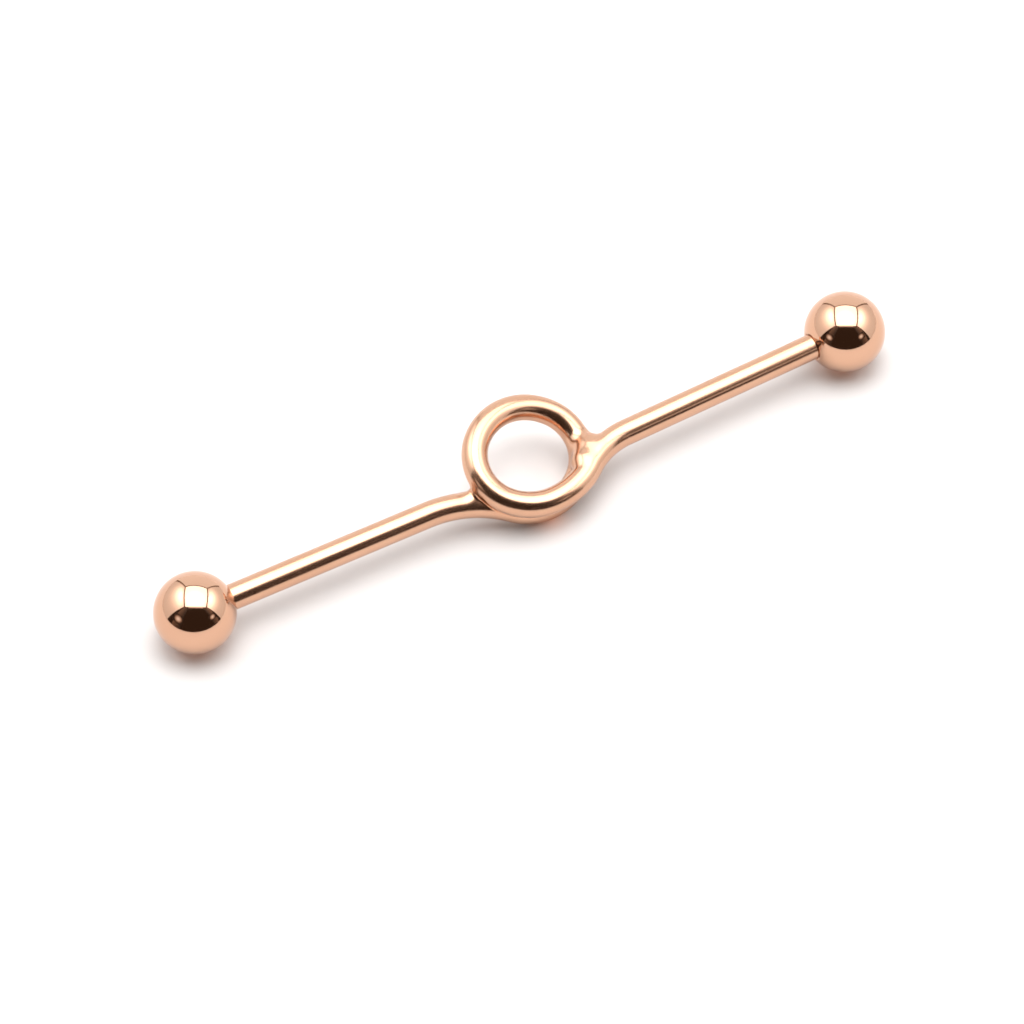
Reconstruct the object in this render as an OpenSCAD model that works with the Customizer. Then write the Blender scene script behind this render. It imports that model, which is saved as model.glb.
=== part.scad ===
// Industrial barbell with a loop bent into its middle.
// Millimetres, +Z up. The barbell lies as it rests on a flat surface at z = 0: on its two balls
// and on the front of its loop. The bar runs along X, and the loop leans down toward -Y.
// The origin is under the middle of the whole barbell.

/* [Wire] */
// Diameter of the wire that the arms and the loop are bent from
wire_d = 1.6; // [1.2:0.1:2]
// Bare bar between the two balls, measured straight across from seat to seat
shaft_l = 40; // [34:1:60]

/* [Loop] */
// Clear opening of the loop, measured along the bar
opening_w = 5.4; // [4.4:0.1:7]
// Clear opening of the loop, measured across the bar
opening_d = 4.7; // [4.2:0.1:6]
// How far the loop's front wire lies in front of the line through the two balls
front_reach = 2.5; // [2.2:0.05:3]
// How far the loop sits from the bar's middle, toward the right ball
loop_shift = 0.55; // [-3:0.05:3]
// How deep the two stacked wires are fused into each other at the loop's front
fuse_depth = 0.06; // [0.04:0.01:0.2]

/* [Arms] */
// Slight lean of the right arm toward the loop's front, in degrees
right_lean = 1.4; // [0:0.1:2.5]
// Slight lean of the left arm toward the loop's front, in degrees
left_lean = 0.6; // [0:0.1:2.5]
// Radius of the bend where the right arm turns down to the loop's front
right_shoulder_r = 5.2; // [4:0.2:12]
// Radius of the counter bend that brings the right arm onto the loop's front
right_entry_r = 4.9; // [3.4:0.1:8]
// Radius of the bend where the left arm turns down to the loop's front
left_shoulder_r = 8.8; // [4:0.2:12]
// Radius of the counter bend that brings the left arm onto the loop's front
left_entry_r = 3.7; // [3.4:0.1:8]

/* [Solder] */
// Radius of the solder bridge in the notch where each arm meets the loop
solder_r = 0.5; // [0.3:0.05:0.6]

/* [Balls] */
// Diameter of the screw-on balls
ball_d = 5; // [4:0.1:6]
// Depth of the recess in a ball that takes the end of the wire, at its rim
seat_depth = 0.1; // [0.06:0.01:0.2]

/* [Thread] */
// Outer diameter of the threaded stud on each end of the bar
stud_d = 1.2; // [0.9:0.05:1.4]
// Length of the stud
stud_l = 2; // [1.4:0.1:2.2]
// Chamfer at the stud's tip
stud_chamfer = 0.15; // [0.05:0.05:0.3]

/* [Clearances] */
// Radial running clearance between stud and tapped hole, and between wire and recess
side_gap = 0.05; // [0.02:0.01:0.1]
// Gap between the end of the wire and the floor of the recess
seat_gap = 0.02; // [0.01:0.01:0.05]
// Depth that the tapped hole goes past the stud's tip
tip_gap = 0.2; // [0.1:0.05:0.4]

/* [Hidden] */
$fn = 96;

// Every second length of wire is a hair thinner and runs this far into its neighbours.
lap = 0.08;
lap_step = 0.03;

// The loop is a four-centre oval: large arcs at its front and back, small arcs at its sides.
step = wire_d - fuse_depth;
half_w = (opening_w + wire_d) / 2;
half_d = (opening_d + wire_d) / 2;
function long_r(w, d) = w + (w - d) * (1 - cos(45)) / (sin(45) - (1 - cos(45)));
function short_r(w, d) = w - (w - d) * sin(45) / (sin(45) - (1 - cos(45)));

// The back half leans so that it drops one step from the upper wire to the lower.
back_lean = atan2(step / 2, half_w);
back_w = norm([half_w, step / 2]);

// A ball's recess is cut seat_depth below the sphere at the recess's rim.
recess_d = wire_d + 2 * side_gap;
seat_x = sqrt(pow(ball_d / 2, 2) - pow(recess_d / 2, 2)) - seat_depth;
end_x = seat_x + seat_gap;
ball_x = shaft_l / 2 + end_x;

// How far round its arm each ball has come when it is screwed home, in degrees
left_ball_turn = -4;
right_ball_turn = -6;

// Each arm and its two bends lie in one plane, rolled up from the loop's plane. In it the arm
// leans a little, the shoulder turns further, and the entry turns back until it is level.
shoulder_roll = atan2(step / 2, front_reach);
offset_l = norm([front_reach, step / 2]);
function across(along, lean) = offset_l * cos(lean) - along * sin(lean);
function shoulder_turn(shoulder_r, entry_r, along, lean) =
    acos((shoulder_r + entry_r * cos(lean) - across(along, lean)) / (shoulder_r + entry_r));
function arm_l(shoulder_r, entry_r, turn, along, lean) = along * cos(lean) + offset_l * sin(lean)
    - shoulder_r * sin(turn) - entry_r * (sin(turn) + sin(lean)) - end_x;
right_along = ball_x - loop_shift;
left_along = ball_x + loop_shift;
right_turn = shoulder_turn(right_shoulder_r, right_entry_r, right_along, right_lean);
left_turn = shoulder_turn(left_shoulder_r, left_entry_r, left_along, left_lean);
right_arm_l = arm_l(right_shoulder_r, right_entry_r, right_turn, right_along, right_lean);
left_arm_l = arm_l(left_shoulder_r, left_entry_r, left_turn, left_along, left_lean);

// At rest the loop's lower front wire and both balls touch the surface.
drop = (ball_d - wire_d) / 2;
rest_lean = asin(min(1, drop / offset_l)) - shoulder_roll;
back_y = (2 * half_d - front_reach) * cos(rest_lean) + wire_d / 2;
front_y = front_reach * cos(rest_lean) + step / 2 * sin(rest_lean) + wire_d / 2;
middle_y = (back_y - front_y) / 2;

// The bar's wire is a chain of straight lengths and arcs. A straight length runs along +X, and
// the children carry on from its end.
module straight(l) {
    rotate([0, 90, 0]) cylinder(h = l, d = wire_d);
    translate([l, 0, 0]) children();
}

// Wire that starts along +X and bends toward +Y. The children carry on from its end.
module bend(r, a) {
    arc(r, 0, a, wire_d);
    translate([r * sin(a), r * (1 - cos(a)), 0]) rotate([0, 0, a]) children();
}

// The same, but a hair thinner and lapped into the wire before and after it, so that no two
// pieces of one run share a surface
module lapped_bend(r, a) {
    past = lap / r * 180 / PI;
    arc(r, -past, a + 2 * past, wire_d - lap_step);
    translate([r * sin(a), r * (1 - cos(a)), 0]) rotate([0, 0, a]) children();
}

module arc(r, from, a, d) translate([0, r, 0]) rotate([0, 0, from - 90])
rotate_extrude(angle = a) translate([r, 0]) circle(d = d);

// The next bend is made in a plane rolled about the wire.
module roll(a) rotate([a, 0, 0]) children();

// The stud runs from inside the wire's end toward -X.
module stud() rotate([0, -90, 0]) union() {
    translate([0, 0, -stud_d / 2]) cylinder(h = stud_d / 2 + stud_l - stud_chamfer, d = stud_d);
    translate([0, 0, stud_l - stud_chamfer])
        cylinder(h = stud_chamfer, d1 = stud_d, d2 = stud_d - 2 * stud_chamfer);
}

// Frames at the two balls' centres, with +X along the arm toward the loop
module from_right_ball() translate([ball_x, 0, 0]) rotate([0, 0, 180])
roll(shoulder_roll) rotate([0, 0, right_lean]) children();
module from_left_ball() translate([-ball_x, 0, 0])
roll(180 + shoulder_roll) rotate([0, 0, left_lean]) children();

// The wire from the right arm's end, once round the loop and out to the left arm's end
module bent_wire() {
    from_right_ball() translate([end_x, 0, 0]) {
        stud();
        straight(right_arm_l)
        lapped_bend(right_shoulder_r, right_turn)
        roll(180) bend(right_entry_r, right_turn + right_lean)
        roll(-shoulder_roll) lapped_bend(long_r(half_w, half_d), 45) bend(short_r(half_w, half_d), 45)
        roll(back_lean) lapped_bend(short_r(back_w, half_d), 45) bend(long_r(back_w, half_d), 90)
        lapped_bend(short_r(back_w, half_d), 45)
        roll(back_lean) bend(short_r(half_w, half_d), 45) lapped_bend(long_r(half_w, half_d), 45)
        roll(-shoulder_roll) bend(left_entry_r, left_turn + left_lean)
        roll(180) lapped_bend(left_shoulder_r, left_turn) straight(left_arm_l);
    }
    from_left_ball() translate([end_x, 0, 0]) stud();
}

// One bridge in each notch, from the loop's side wire up or down to the arm beside it
module solder() for (side = [0, 180])
translate([loop_shift, 0, 0]) rotate([0, side, 0])
translate([half_w - short_r(half_w, half_d), half_d - front_reach, -step / 2]) rotate([0, 0, -15])
translate([short_r(half_w, half_d), 0, 0]) rotate([0, 60, 0]) cylinder(h = 1.15 * wire_d, r = solder_r);

// Puts the bar's own frame, with the loop's plane level, into the resting pose
module at_rest() translate([0, -middle_y, ball_d / 2]) rotate([rest_lean, 0, 0]) children();

module bar() color([0.87, 0.62, 0.5]) at_rest() {
    bent_wire();
    solder();
}

// A ball with its recess and tapped hole opening along +X
module ball() color([0.9, 0.66, 0.54]) rotate([0, 90, 0]) difference() {
    sphere(d = ball_d);
    translate([0, 0, seat_x]) cylinder(h = ball_d, d = recess_d);
    translate([0, 0, end_x - stud_l - tip_gap]) cylinder(h = ball_d, d = stud_d + 2 * side_gap);
}

module ball_left() at_rest() from_left_ball() roll(left_ball_turn) ball();
module ball_right() at_rest() from_right_ball() roll(right_ball_turn) ball();

bar();
ball_left();
ball_right();
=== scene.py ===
"""Industrial barbell in polished rose-gold steel: a bar with a loop bent into its middle, and two
screw-on balls. It lies on a pale studio floor, on the balls and on the front of the loop."""

from math import acos, asin, atan2, cos, hypot, pi, radians, sin, sqrt, tan

import bmesh
import bpy
import numpy as np
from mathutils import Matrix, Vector


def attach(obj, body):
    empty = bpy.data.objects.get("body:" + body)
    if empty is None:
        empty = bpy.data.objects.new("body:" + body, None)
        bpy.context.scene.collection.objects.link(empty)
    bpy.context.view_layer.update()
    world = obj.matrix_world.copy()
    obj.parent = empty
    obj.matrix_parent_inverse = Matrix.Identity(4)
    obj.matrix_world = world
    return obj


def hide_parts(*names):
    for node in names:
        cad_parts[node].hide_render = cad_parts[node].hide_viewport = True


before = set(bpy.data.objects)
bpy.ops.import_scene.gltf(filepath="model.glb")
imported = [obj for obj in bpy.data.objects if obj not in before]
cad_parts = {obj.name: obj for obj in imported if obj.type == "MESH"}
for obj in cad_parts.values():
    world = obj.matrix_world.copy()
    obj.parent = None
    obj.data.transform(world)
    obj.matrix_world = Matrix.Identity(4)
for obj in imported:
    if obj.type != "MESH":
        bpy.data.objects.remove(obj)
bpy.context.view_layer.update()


# The bar's wire
# One length of round 1.6 mm surgical steel wire. It is bent on a jig into one turn of loop with
# the two arms leading away from it, and the loop's front strands are pressed together.
wire_r = 0.8
bare_bar = 40.0
opening_w, opening_d = 5.4, 4.7
front_reach = 2.5
loop_shift = 0.55
fuse_depth = 0.06
ball_r = 2.5
recess_r = 0.85
seat_depth = 0.1
seat_gap = 0.02

seat_x = sqrt(ball_r**2 - recess_r**2) - seat_depth
end_x = seat_x + seat_gap
ball_x = bare_bar / 2 + end_x
stacked = 2 * wire_r - fuse_depth
roll = atan2(stacked / 2, front_reach)
offset = hypot(front_reach, stacked / 2)
rest_lean = asin((ball_r - wire_r) / offset) - roll
half_w, half_d = opening_w / 2 + wire_r, opening_d / 2 + wire_r
back_y = (2 * half_d - front_reach) * cos(rest_lean) + wire_r
front_y = front_reach * cos(rest_lean) + stacked / 2 * sin(rest_lean) + wire_r
middle_y = (back_y - front_y) / 2


class WireRun:
    """The centre line of bent wire, as a chain of straight lengths and arcs. It has come to p,
    heads along t, bends toward b and is s long so far."""

    def __init__(self, start, heading, side):
        self.p, self.t, self.b = (np.array(v, float) for v in (start, heading, side))
        self.s, self.parts = 0.0, []

    def straight(self, length):
        self.parts.append((None, self.p, self.t, self.b, length, self.s))
        self.p = self.p + length * self.t
        self.s += length
        return self

    def bend(self, radius, angle):
        self.parts.append((radius, self.p + radius * self.b, self.t, self.b, angle, self.s))
        t, b = self.t, self.b
        self.p = self.p + radius * (sin(angle) * t + (1 - cos(angle)) * b)
        self.t, self.b = cos(angle) * t + sin(angle) * b, cos(angle) * b - sin(angle) * t
        self.s += radius * angle
        return self

    def roll(self, angle):
        self.b = cos(angle) * self.b + sin(angle) * np.cross(self.t, self.b)
        return self

    def strand(self, skipped=0):
        """The run as it is up to here, without its first few parts."""
        part = WireRun(self.p, self.t, self.b)
        part.parts = self.parts[skipped:]
        return part

    def points(self, gap):
        out = []
        for radius, c, t, b, size, _ in self.parts:
            steps = max(2, int(size * (radius or 1) / gap))
            for a in np.linspace(0, size, steps, endpoint=False):
                out.append(c + a * t if radius is None else c + radius * (sin(a) * t - cos(a) * b))
        return out + [self.p]

    def nearest(self, p):
        """Distance from each point to the centre line, its direction, and how far along it is."""
        best, away, along = np.full(len(p), 1e9), np.zeros_like(p), np.zeros(len(p))
        for radius, c, t, b, size, start in self.parts:
            q = p - c
            if radius is None:
                a = np.clip(q @ t, 0, size)
                foot = c + a[:, None] * t
            else:
                a = np.clip(np.arctan2(q @ t, -(q @ b)), 0, size)
                foot = c + radius * (np.sin(a)[:, None] * t - np.cos(a)[:, None] * b)
            d = p - foot
            length = np.linalg.norm(d, axis=1)
            near = length < best
            best[near], away[near] = length[near], d[near] / length[near, None]
            along[near] = start + a[near] * (radius or 1)
        return best, away, along


def arm(shoulder_r, entry_r, along, lean):
    """Turn of the shoulder, and the arm's length from the ball's centre."""
    fall = offset * cos(lean) - along * sin(lean)
    turn = acos((shoulder_r + entry_r * cos(lean) - fall) / (shoulder_r + entry_r))
    reach = along * cos(lean) + offset * sin(lean)
    return turn, reach - shoulder_r * sin(turn) - entry_r * (sin(turn) + sin(lean))


def oval(w, d):
    """Large and small radius of a four-centre oval."""
    k = (w - d) / (sin(pi / 4) - (1 - cos(pi / 4)))
    return w + k * (1 - cos(pi / 4)), w - k * sin(pi / 4)


right_lean, right_shoulder_r, right_entry_r = radians(1.4), 5.2, 4.9
left_lean, left_shoulder_r, left_entry_r = radians(0.6), 8.8, 3.7
right_turn, right_l = arm(right_shoulder_r, right_entry_r, ball_x - loop_shift, right_lean)
left_turn, left_l = arm(left_shoulder_r, left_entry_r, ball_x + loop_shift, left_lean)
back_lean = atan2(stacked / 2, half_w)
long_r, short_r = oval(half_w, half_d)
back_long_r, back_short_r = oval(hypot(half_w, stacked / 2), half_d)

wire = WireRun((ball_x, 0, 0), (-1, 0, 0), (0, -1, 0)).roll(roll)
wire.t, wire.b = (
    cos(right_lean) * wire.t + sin(right_lean) * wire.b,
    cos(right_lean) * wire.b - sin(right_lean) * wire.t,
)
right_out = -wire.t
wire.p = wire.p + end_x * wire.t
wire.straight(right_l - end_x).bend(right_shoulder_r, right_turn)
wire.roll(pi).bend(right_entry_r, right_turn + right_lean)
wire.roll(-roll).bend(long_r, pi / 4).bend(short_r, pi / 4)
wire.roll(back_lean).bend(back_short_r, pi / 4).bend(back_long_r, pi / 4)
upper = wire.strand()
wire.bend(back_long_r, pi / 4).bend(back_short_r, pi / 4)
wire.roll(back_lean).bend(short_r, pi / 4).bend(long_r, pi / 4)
wire.roll(-roll).bend(left_entry_r, left_turn + left_lean)
wire.roll(pi).bend(left_shoulder_r, left_turn).straight(left_l - end_x)
left_out = wire.t
lower = wire.strand(len(upper.parts))


def at_rest(p):
    """The bar's own frame, with the loop level, to the resting pose; still in millimetres."""
    x, y, z = np.asarray(p, float).T
    c, s = cos(rest_lean), sin(rest_lean)
    return np.stack([x, y * c - z * s - middle_y, y * s + z * c + ball_r], axis=1)


# Flush solder fills the crease between the two strands: its fillet, how wide the painted reflection
# in the crease shows, and from how far apart along the wire two strands count as two. More has
# pooled along a line in each notch: the line, how far the pool reaches and how full it is.
crease_fillet, crease_w, crease_depth, strands_apart = 0.1, 0.12, 0.2, (8, 13)
pools = [
    (np.array([(3.3, -0.6, 0.12), (4.3, 0.05, 0.1)]), 0.9, 0.9),
    (np.array([(-3.68, 0.05, 0.25), (-3.6, -0.1, 0.4)]), 0.5, 0.3),
]
# Two flattened beads of it fill the right notch: each one's centre, the way its flat side looks,
# its half sizes across and along the notch and through it, and its fillet.
along_notch = np.array([-0.893, -0.445, -0.061])
beads = [
    (np.array([4.3, -0.12, -0.4]), np.array([-0.257, 0.394, 0.883]), (0.9, 0.8, 0.8), 0.5),
    (np.array([4.45, -0.42, 0.2]), np.array([-0.203, 0.278, 0.939]), (0.7, 0.6, 0.5), 0.5),
]
# A thick run of it lies beside the right arm, and a thin one bridges the left notch.
runs = [
    (np.array([(4.0, -0.5, 0.0), (3.45, -1.0, 0.3)]), 0.75, 0.4),
    (np.array([(-2.9, -0.05, 0.77), (-4.4, -0.42, -0.15)]), 0.3, 0.5),
]


def from_line(p, a, b):
    """Distance from each point to the line from a to b, and the direction away from it."""
    along = np.clip((p - a) @ (b - a) / ((b - a) @ (b - a)), 0, 1)
    away = p - a - along[:, None] * (b - a)
    size = np.linalg.norm(away, axis=1)
    return size, away / size[:, None]


def from_bead(p, centre, facing, sizes):
    """Distance from each point to the bead's skin, near enough, and the direction away from it."""
    axes = np.stack([np.cross(along_notch, facing), along_notch, facing])
    local = (p - centre) @ axes.T / sizes
    steep = local / sizes
    size, slope = np.linalg.norm(local, axis=1), np.linalg.norm(steep, axis=1)
    return size * (size - 1) / slope, steep @ axes / slope[:, None]


def soft_min(a, b, ga, gb, k):
    """Union of two distances with a fillet of about the size k, and the mixed directions."""
    h = np.clip(0.5 + 0.5 * (b - a) / k, 0, 1)
    return b * (1 - h) + a * h - k * h * (1 - h), ga * h[:, None] + gb * (1 - h[:, None])


def wire_skin(p):
    """Distance from the soldered wire's skin, the way out, and shares of solder and crease."""
    da, ga, sa = upper.nearest(p)
    db, gb, sb = lower.nearest(p)
    near_by, far_off = strands_apart
    apart = np.clip((np.abs(sa - sb) - near_by) / (far_off - near_by), 0, 1)
    solder, fillet = np.zeros(len(p)), crease_fillet * apart
    for pool, reach, fill in pools:
        near = np.exp(-((from_line(p, *pool)[0] / reach) ** 2))
        fillet = fillet + fill * near * apart
        solder = np.maximum(solder, near * np.exp(-np.abs(da - db) / (0.15 + fill / 2)))
    d, g = soft_min(da - wire_r, db - wire_r, ga, gb, 1e-4 + fillet)
    crease = np.exp(-np.abs(da - db) / crease_w - np.maximum(d + 0.1, 0) / crease_depth) * apart
    solder = np.maximum(solder, crease)
    for *bead, blend in beads:
        size, outward = from_bead(p, *bead)
        d, g = soft_min(d, size, g, outward, blend)
    for line, radius, blend in runs:
        size, outward = from_line(p, *line)
        d, g = soft_min(d, size - radius, g, outward, blend)
    return d, g / np.linalg.norm(g, axis=1)[:, None], solder, crease


def mesh_object(name, vertices, faces, normals=None):
    """A smooth mesh in the frame's metres, from millimetres in the bar's own frame."""
    mesh = bpy.data.meshes.new(name)
    mesh.from_pydata((at_rest(vertices) / 1000).tolist(), [], faces)
    mesh.shade_smooth()
    if normals is not None:
        c, s = cos(rest_lean), sin(rest_lean)
        x, y, z = normals.T
        turned = np.stack([x, y * c - z * s, y * s + z * c], axis=1)
        mesh.normals_split_custom_set_from_vertices(turned.tolist())
    thing = bpy.data.objects.new(name, mesh)
    bpy.context.scene.collection.objects.link(thing)
    return thing


def rough_tubes(step=0.25, sides=16):
    """Plain tubes along both strands and the solder, in millimetres, as a start for the skin."""
    bm = bmesh.new()
    turn = [2 * pi * j / sides for j in range(sides)]
    tubes = [(upper.points(step), wire_r), (lower.points(step), wire_r)]
    tubes += [(line, radius) for line, radius, _ in runs]
    for centre, _, sizes, _ in beads:
        half = 0.4 * sizes[1] * along_notch
        tubes.append(([centre - half, centre + half], 0.85 * sizes[2]))
    for way, radius in tubes:
        way = np.array(way)
        rings, side = [], np.array([0, 0, 1.0])
        for i, p in enumerate(way):
            t = way[min(i + 1, len(way) - 1)] - way[max(i - 1, 0)]
            t /= np.linalg.norm(t)
            side = side - side @ t * t
            side /= np.linalg.norm(side)
            other = np.cross(t, side)
            ring = [p + radius * (cos(a) * side + sin(a) * other) for a in turn]
            rings.append([bm.verts.new(q) for q in ring])
        for lo, hi in zip(rings, rings[1:]):
            for j in range(sides):
                bm.faces.new((lo[j], lo[j - 1], hi[j - 1], hi[j]))
        bm.faces.new(rings[0])
        bm.faces.new(rings[-1][::-1])
    bmesh.ops.recalc_face_normals(bm, faces=bm.faces)
    mesh = bpy.data.meshes.new("rough")
    bm.to_mesh(mesh)
    bm.free()
    return mesh


# The tubes are fused into one body, cut off at the wire's ends and drawn onto the real skin.
skin_grid, end_bevel, drawing_rounds = 0.085, 0.06, 6
rough = bpy.data.objects.new("rough", rough_tubes())
bpy.context.scene.collection.objects.link(rough)
fused = rough.modifiers.new("fused", "REMESH")
fused.mode, fused.voxel_size = "VOXEL", skin_grid
skin = bpy.data.meshes.new_from_object(rough.evaluated_get(bpy.context.evaluated_depsgraph_get()))
bpy.data.objects.remove(rough)
bm = bmesh.new()
bm.from_mesh(skin)
wire_ends = [(np.array([ball_x, 0, 0]), right_out), (np.array([-ball_x, 0, 0]), left_out)]
for ball, out in wire_ends:
    cut_at = ball - (end_x + end_bevel) * out
    everything = bm.verts[:] + bm.edges[:] + bm.faces[:]
    bmesh.ops.bisect_plane(
        bm, geom=everything, plane_co=cut_at, plane_no=out, clear_outer=True, dist=1e-4
    )
bm.to_mesh(skin)
bm.free()
count = len(skin.vertices)
points = np.zeros(count * 3)
skin.vertices.foreach_get("co", points)
points = points.reshape(-1, 3)
rims = [np.abs((points - ball) @ out + end_x + end_bevel) < 1e-3 for ball, out in wire_ends]
for _ in range(drawing_rounds):
    gap, way, _, _ = wire_skin(points)
    points = points - gap[:, None] * way
for rim, (ball, out) in zip(rims, wire_ends):
    slip = (points[rim] - ball) @ out + end_x + end_bevel
    points[rim] -= slip[:, None] * out
gap, way, solder, crease = wire_skin(points)
wire_body = mesh_object("bent_wire", points, [tuple(f.vertices) for f in skin.polygons], way)
for name, share in (("solder", solder), ("crease", crease)):
    layer = wire_body.data.attributes.new(name, "FLOAT", "POINT")
    layer.data.foreach_set("value", share.astype(np.float32))
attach(wire_body, "bar")
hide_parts("bar")


class Value:
    """A value in a material. Sums written with these add the nodes that work them out."""

    def __init__(self, tree, socket=None):
        self.tree, self.socket = tree, socket

    def node(self, kind, settings, sockets, out=0):
        made = self.tree.nodes.new(kind)
        for name, setting in settings.items():
            setattr(made, name, setting)
        for name, value in sockets.items():
            if isinstance(value, Value):
                self.tree.links.new(value.socket, made.inputs[name])
            else:
                made.inputs[name].default_value = value
        return Value(self.tree, made.outputs[out] if made.outputs else None)

    def maths(self, operation, *values):
        return self.node("ShaderNodeMath", {"operation": operation}, dict(enumerate(values)))

    def __add__(self, other):
        return self.maths("ADD", self, other)

    def __sub__(self, other):
        return self.maths("SUBTRACT", self, other)

    def __rsub__(self, other):
        return self.maths("SUBTRACT", other, self)

    def __mul__(self, other):
        return self.maths("MULTIPLY", self, other)

    def __truediv__(self, other):
        return self.maths("DIVIDE", self, other)

    def __rtruediv__(self, other):
        return self.maths("DIVIDE", other, self)

    __radd__, __rmul__ = __add__, __mul__

    def clamped(self):
        return self.node("ShaderNodeClamp", {}, {0: self})

    def mix(self, first, second):
        """From the first colour to the second as this value goes from 0 to 1."""
        pair = {6: (*first, 1) if isinstance(first, tuple) else first}
        pair[7] = (*second, 1) if isinstance(second, tuple) else second
        return self.node("ShaderNodeMix", {"data_type": "RGBA"}, {0: self, **pair}, 2)


def new_material(name):
    material = bpy.data.materials.new(name)
    material.use_nodes = True
    material.node_tree.nodes.clear()
    return material, Value(material.node_tree)


def finish_with(start, sockets):
    """Ends a material with one Principled shader."""
    surface = start.node("ShaderNodeBsdfPrincipled", {}, sockets)
    start.node("ShaderNodeOutputMaterial", {}, {"Surface": surface})


def noise(start, place, scale, detail):
    """Soft random marks, this many to the metre."""
    return start.node("ShaderNodeTexNoise", {}, {"Vector": place, "Scale": scale, "Detail": detail})


def stretched(start, place, along, across):
    """Marks drawn out along the bar: how many to the metre each way."""
    return start.node(
        "ShaderNodeVectorMath", {"operation": "MULTIPLY"}, {0: place, 1: (along, across, across)}
    )


# polished rose-gold plating, with the solder a little less even, and a painted deep-orange
# reflection in the crease between the strands
rose_gold, worn_gold = (0.63, 0.375, 0.25), (0.58, 0.33, 0.21)
solder_gold, painted_crease_reflection = (0.61, 0.36, 0.235), (0.66, 0.23, 0.08)
bar_metal, start = new_material("bar_metal")
place = start.node("ShaderNodeTexCoord", {}, {}, 3)
soldered = start.node("ShaderNodeAttribute", {"attribute_name": "solder"}, {}, 2).clamped()
creased = start.node("ShaderNodeAttribute", {"attribute_name": "crease"}, {}, 2).clamped()
cloud = noise(start, place, 350.0, 3.0)
drawn_lines = noise(start, stretched(start, place, 160.0, 5200.0), 1.0, 2.0)
ripple = noise(start, place, 2600.0, 2.0)
tone = ((cloud - 0.35) * 1.6).clamped().mix(rose_gold, worn_gold)
tone = (soldered * (0.35 + 0.5 * ripple)).clamped().mix(tone, solder_gold)
# painted reflection: the crease between the strands is tinted deep orange, where the metal mirrors
# itself
tone = (creased * (0.3 + 1.2 * ripple)).clamped().mix(tone, painted_crease_reflection)
rough = 0.15 + 0.06 * cloud + 0.06 * drawn_lines + 0.05 * soldered
height = drawn_lines * 0.25 + ripple * soldered * 3.0
bump = start.node("ShaderNodeBump", {}, {"Height": height, "Strength": 0.12, "Distance": 0.000006})
finish_with(start, {"Base Color": tone, "Metallic": 1.0, "Roughness": rough, "Normal": bump})
wire_body.data.materials.append(bar_metal)


# The threaded ends
# Each end of the wire is turned down to a stud and cut with a fine M1.2 thread that the ball
# screws onto. The end of the wire itself keeps its full width and seats in the ball.
def ball_frame(side):
    """The ball's centre and three directions, the first along the arm toward the loop."""
    x = -(right_out if side > 0 else left_out)
    y = np.array([0, 1.0, 0]) - x[1] * x
    y /= np.linalg.norm(y)
    return np.array([side * ball_x, 0, 0]), np.array([x, y, np.cross(x, y)])


def turned(name, side, rings, segments):
    """A surface turned round the arm's line, from rings of (place along it, radius or radii)."""
    centre, directions = ball_frame(side)
    angles = np.arange(segments) * 2 * pi / segments
    points = []
    for along, radius in rings:
        local = np.zeros((segments, 3)) + along
        local[:, 1], local[:, 2] = radius * np.cos(angles), radius * np.sin(angles)
        points.append(centre + local @ directions)
    faces = []
    for a in range(0, (len(rings) - 1) * segments, segments):
        for j in range(segments):
            k = (j + 1) % segments
            faces.append((a + j, a + segments + j, a + segments + k, a + k))
    thing = mesh_object(name, np.concatenate(points), faces)
    bm = bmesh.new()
    bm.from_mesh(thing.data)
    bmesh.ops.remove_doubles(bm, verts=bm.verts, dist=1e-7)
    bmesh.ops.recalc_face_normals(bm, faces=bm.faces)
    bm.to_mesh(thing.data)
    bm.free()
    thing.data.set_sharp_from_angle(angle=radians(35))
    return thing


def thread(along, crest, depth, segments, pitch=0.25):
    """Radii of one ring of a thread, flat at crest and root; a hole's depth is below zero."""
    phase = (along / pitch + np.arange(segments) / segments) % 1
    return crest - depth * np.clip(abs(2 * phase - 1) * 1.3 - 0.12, 0, 1)


stud_r, stud_l, tip_chamfer, root_r = 0.6, 2.0, 0.15, 0.5
thread_depth, thread_step, stud_segments = 0.13, 0.02, 48
for side, name in ((-1, "thread_left"), (1, "thread_right")):
    rings = [(end_x + end_bevel, wire_r), (end_x + end_bevel / 4, wire_r - 0.75 * end_bevel)]
    rings += [(end_x, wire_r - end_bevel), (end_x, root_r), (end_x - thread_step, root_r)]
    for along in np.arange(end_x - 2 * thread_step, end_x - stud_l, -thread_step):
        tip = stud_r - max(0, end_x - stud_l + tip_chamfer - along)
        cut = thread(along, stud_r, thread_depth, stud_segments)
        rings.append((along, np.minimum(cut, tip)))
    rings += [(end_x - stud_l, stud_r - tip_chamfer), (end_x - stud_l, 0)]
    stud = turned(name, side, rings, stud_segments)
    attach(stud, "bar")
    stud.data.materials.append(bar_metal)


# The balls
# Each is a 5 mm steel ball, ground and mirror-polished, with a shallow seat for the wire's end
# and a tapped hole. It screws onto the stud, and its plating is the same rose gold.
hole_r, tip_gap, seat_chamfer, hole_cone = 0.65, 0.2, 0.06, 0.3
hole_thread_depth, ball_segments, ball_rings = 0.1, 112, 110
ball_gold, ball_worn = (0.64, 0.385, 0.26), (0.61, 0.355, 0.235)
ball_metal, start = new_material("ball_metal")
place = start.node("ShaderNodeTexCoord", {}, {}, 3)
cloud = noise(start, place, 300.0, 4.0)
marks = noise(start, stretched(start, place, 300.0, 4200.0), 1.0, 2.0)
tone = ((cloud - 0.35) * 1.5).clamped().mix(ball_gold, ball_worn)
rough = 0.045 + 0.04 * cloud + 0.02 * marks
bump = start.node("ShaderNodeBump", {}, {"Height": marks, "Strength": 0.1, "Distance": 0.000002})
finish_with(start, {"Base Color": tone, "Metallic": 1.0, "Roughness": rough, "Normal": bump})
rim_at = pi - asin((recess_r + seat_chamfer) / ball_r)
hole_end = end_x - stud_l - tip_gap
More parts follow.
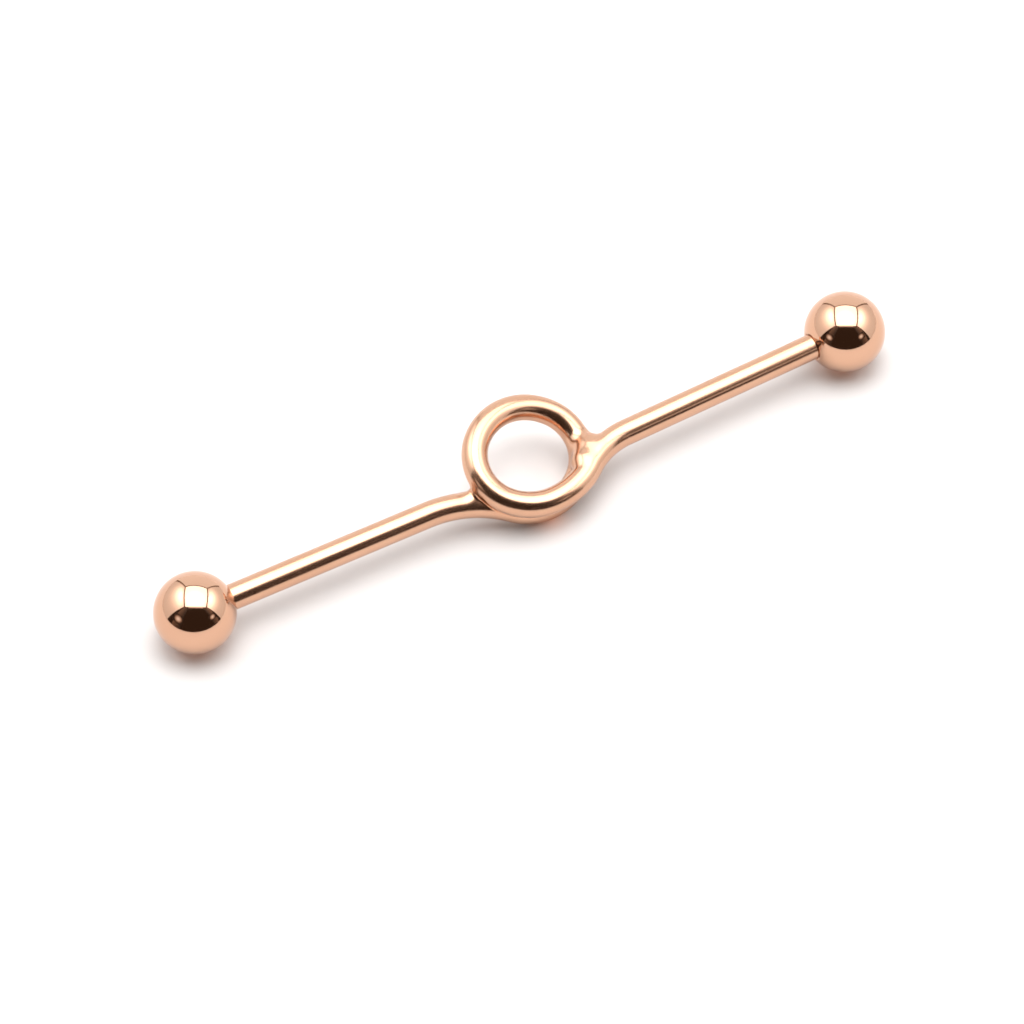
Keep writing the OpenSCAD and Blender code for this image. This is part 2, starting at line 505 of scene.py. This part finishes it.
for side, name in ((-1, "ball_left"), (1, "ball_right")):
    rings = [(-ball_r * cos(a), ball_r * sin(a)) for a in np.linspace(0, rim_at, ball_rings)]
    rings += [(sqrt(ball_r**2 - recess_r**2) - seat_chamfer * 0.6, recess_r), (seat_x, recess_r)]
    rings += [(seat_x, hole_r + hole_thread_depth)]
    for along in np.arange(seat_x - 2 * thread_step, hole_end, -thread_step):
        rings.append((along, thread(along, hole_r, -hole_thread_depth, ball_segments)))
    rings += [(hole_end, hole_r), (hole_end - hole_cone, 0)]
    ball = turned(name + "_polished", side, rings, ball_segments)
    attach(ball, name)
    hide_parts(name)
    ball.data.materials.append(ball_metal)


# The studio
# A matt white floor inside a light tent: a bright ceiling and glowing walls on three sides, with
# thin gaps at their seams. The front is open, between two flaps, to a dim room with two lamps.
turned_by = radians(-28.337)


def card(name, across, up, place, glow):
    """A glowing panel as a grid; place and glow take how far across and up it a point is."""
    c, s = cos(turned_by), sin(turned_by)
    grid = [(i / across, j / up) for j in range(up + 1) for i in range(across + 1)]
    where = [place(u, v) for u, v in grid]
    where = [((x * c - y * s) / 1000, (x * s + y * c) / 1000, z / 1000) for x, y, z in where]
    row = across + 1
    corners = [j * row + i for j in range(up) for i in range(across)]
    mesh = bpy.data.meshes.new(name)
    mesh.from_pydata(where, [], [(k, k + 1, k + row + 1, k + row) for k in corners])
    panel = bpy.data.objects.new(name, mesh)
    bpy.context.scene.collection.objects.link(panel)
    levels = mesh.color_attributes.new("glow", "FLOAT_COLOR", "POINT")
    colours = []  # full light is white, and dim light is brown
    for level in (glow(u, v) for u, v in grid):
        pale = min(1, level)
        colours += [level, level * (0.62 + 0.38 * pale), level * (0.42 + 0.58 * pale), 1]
    levels.data.foreach_set("color", colours)
    material, start = new_material(name)
    colour = start.node("ShaderNodeAttribute", {"attribute_name": "glow"}, {}, 0)
    glowing = {"Base Color": (0, 0, 0, 1), "Roughness": 1.0, "Emission Color": colour}
    finish_with(start, glowing | {"Emission Strength": 1.0})
    mesh.materials.append(material)
    panel.visible_camera = False


# the tent's box round the barbell in millimetres, and the gaps at its seams, corners and foot
left, right, front, back, top = -312, 405, -190, 570, 600
seam, corner_gap, foot_gap = 30, 22, 2
wide, deep = right - left, back - front


def wall(name, a, b, glow, slant=0):
    """An upright panel from floor point a to b; glow takes the way along it and the height. The
    foot of a slanted one starts that much further along."""
    def place(u, v):
        start = a[1] + slant * (1 - v)
        z = foot_gap + v * (top - seam - foot_gap)
        return a[0] + u * (b[0] - a[0]), start + u * (b[1] - start), z

    card(name, 20, 16, place, lambda u, v: glow(u, place(u, v)[2]))


def lit_cloth(at, height, spread, tall):
    """The cloth's even glow, and the light of a lamp that stands behind it."""
    def glow(u, z):
        lamp = 3.2 * np.exp(-(((u - at) / spread) ** 2) - ((z - height) / tall) ** 2)
        return 1.03 + 0.1 * z / top + lamp

    return glow


wall("left_wall", (left, front), (left, back - seam), lit_cloth(0.42, 430, 0.36, 190), slant=95)
wall("right_wall", (right, front), (right, back - seam), lit_cloth(0.38, 465, 0.38, 180), slant=60)
back_ends = (left + corner_gap, back), (right - corner_gap, back)
wall("back_wall", *back_ends, lambda u, z: 1.3 - 0.1 * z / top)
# dim flaps stand at each side of the open front, turned a little outward
for name, x, width, level in (("left_flap", left, 150, 0.2), ("right_flap", right, -160, 0.25)):
    flap_ends = (x, front), (x + width, front - 30)
    wall(name, *flap_ends, lambda u, z: level * (1 - u) + 0.02)

# the ceiling hangs a little over the open front, where it fades, and is brightest under its lamp
lip, lamp_x, lamp_y, lamp_spread = 105, 20, 10, 170


def ceiling_place(u, v):
    y = front - lip + v * (deep - seam + lip)
    return left + seam + u * (wide - 2 * seam), y, top


def ceiling_glow(u, v):
    x, y, _ = ceiling_place(u, v)
    lamp = 5.0 * np.exp(-((x - lamp_x) ** 2 + (y - lamp_y) ** 2) / lamp_spread**2)
    edge = np.clip((v - 0.015) / 0.11, 0, 1) ** 1.6
    return (3.4 + lamp) * edge + 0.02


card("ceiling", 30, 60, ceiling_place, ceiling_glow)

# brown cloth behind the seams of the walls and the ceiling
brown, past, behind = 0.25, 80, 40
cover_ends = (left - past, back + behind), (right + past, back + behind)
wall("back_cover", *cover_ends, lambda u, z: brown)


def roof_place(u, v):
    return left - past + u * (wide + 2 * past), front + 60 + v * (deep + 20), top + behind


card("roof_cover", 4, 4, roof_place, lambda u, v: brown)

# the two lamps in the dim room in front: way round, height and half size in degrees, and how far
# off; each is wider than it is high and fades toward its edge
lamps = (("lamp_left", -131, 22.5, 13, 280), ("lamp_right", 126, 24, 10, 300))
for name, azimuth, elevation, size, far in lamps:
    a, e = radians(azimuth), radians(elevation)
    half = far * tan(radians(size))
    ahead = np.array([sin(a) * cos(e), cos(a) * cos(e), sin(e)]) * far
    sideways = np.array([cos(a), -sin(a), 0]) * half
    upward = np.array([-sin(a) * sin(e), -cos(a) * sin(e), cos(e)]) * 0.8 * half
    card(
        name, 12, 12,
        lambda u, v: tuple(ahead + sideways * (2 * u - 1) + upward * (2 * v - 1)),
        lambda u, v: 0.03 + 1.2 * np.clip(1.3 - 1.5 * hypot(2 * u - 1, 2 * v - 1), 0, 1),
    )

# matt white paper under the barbell
floor_mesh = bpy.data.meshes.new("floor")
floor_mesh.from_pydata([(-3, -3, 0), (3, -3, 0), (3, 3, 0), (-3, 3, 0)], [], [(0, 1, 2, 3)])
floor = bpy.data.objects.new("floor", floor_mesh)
bpy.context.scene.collection.objects.link(floor)
matt_white, start = new_material("matt_white")
place = start.node("ShaderNodeTexCoord", {}, {}, 3)
grain = noise(start, place, 900.0, 3.0)
paper = grain.mix((0.65, 0.63, 0.622), (0.665, 0.645, 0.637))
# painted warm light: a warm glow added to the floor's emission under the balls and the front of the
# loop stands in for the light that the metal throws onto it
painted_glow = 0.0
for x, y, reach in ((-ball_x, -middle_y, 3.2), (ball_x, -middle_y, 3.2), (loop_shift, -2.9, 2.2)):
    touch = (x / 1000, y / 1000, 0)
    away = start.node("ShaderNodeVectorMath", {"operation": "DISTANCE"}, {0: place, 1: touch}, 1)
    near = (1.0 - away / (reach / 1000)).clamped()
    painted_glow = near * near + painted_glow
warm = painted_glow.clamped().mix((0.0, 0.0, 0.0), (0.3, 0.12, 0.065))
matt = {"Base Color": paper, "Roughness": 1.0, "Specular IOR Level": 0.0}
finish_with(start, matt | {"Emission Color": warm, "Emission Strength": 1.0})
floor_mesh.materials.append(matt_white)

# the white backdrop beyond it, which only the camera sees, and the dim room
sky_mesh = bpy.data.meshes.new("backdrop")
bm = bmesh.new()
bmesh.ops.create_uvsphere(bm, u_segments=48, v_segments=24, radius=4)
bm.to_mesh(sky_mesh)
bm.free()
sky = bpy.data.objects.new("backdrop", sky_mesh)
bpy.context.scene.collection.objects.link(sky)
white_card, start = new_material("white_card")
glowing = {"Base Color": (0, 0, 0, 1), "Roughness": 1.0, "Emission Color": (1, 1, 1, 1)}
finish_with(start, glowing | {"Emission Strength": 0.98})
sky_mesh.materials.append(white_card)
sky.visible_glossy = sky.visible_diffuse = sky.visible_shadow = sky.visible_transmission = False

world = bpy.data.worlds.new("dim_room")
world.use_nodes = True
world.node_tree.nodes["Background"].inputs["Color"].default_value = (0.045, 0.029, 0.02, 1)
bpy.context.scene.world = world
bpy.context.scene.view_settings.view_transform = "Standard"


# The camera
# It looks down at the barbell from the photograph's angle with a long lens. The barbell runs
# from the lower left to the upper right of the frame.
elevation, distance, focal_px, picture_px = radians(53.658), 380.382, 6286.0, 1024
aim = np.array([-0.790, -1.317, 0.0])


def from_picture(p):
    """From directions that follow the picture's sides to the part's own frame."""
    c, s = cos(turned_by), sin(turned_by)
    x, y, z = p + aim
    return Vector((x * c - y * s, x * s + y * c - middle_y, z)) / 1000


lens = bpy.data.cameras.new("camera")
lens.sensor_width = 36
lens.lens = lens.sensor_width * focal_px / picture_px
lens.clip_start, lens.clip_end = 0.01, 20
camera = bpy.data.objects.new("camera", lens)
bpy.context.scene.collection.objects.link(camera)
stand = np.array([0, -distance * cos(elevation), distance * sin(elevation)])
camera.location = from_picture(stand)
camera.rotation_mode = "QUATERNION"
camera.rotation_quaternion = (from_picture(np.zeros(3)) - camera.location).to_track_quat("-Z", "Y")
bpy.context.scene.camera = camera
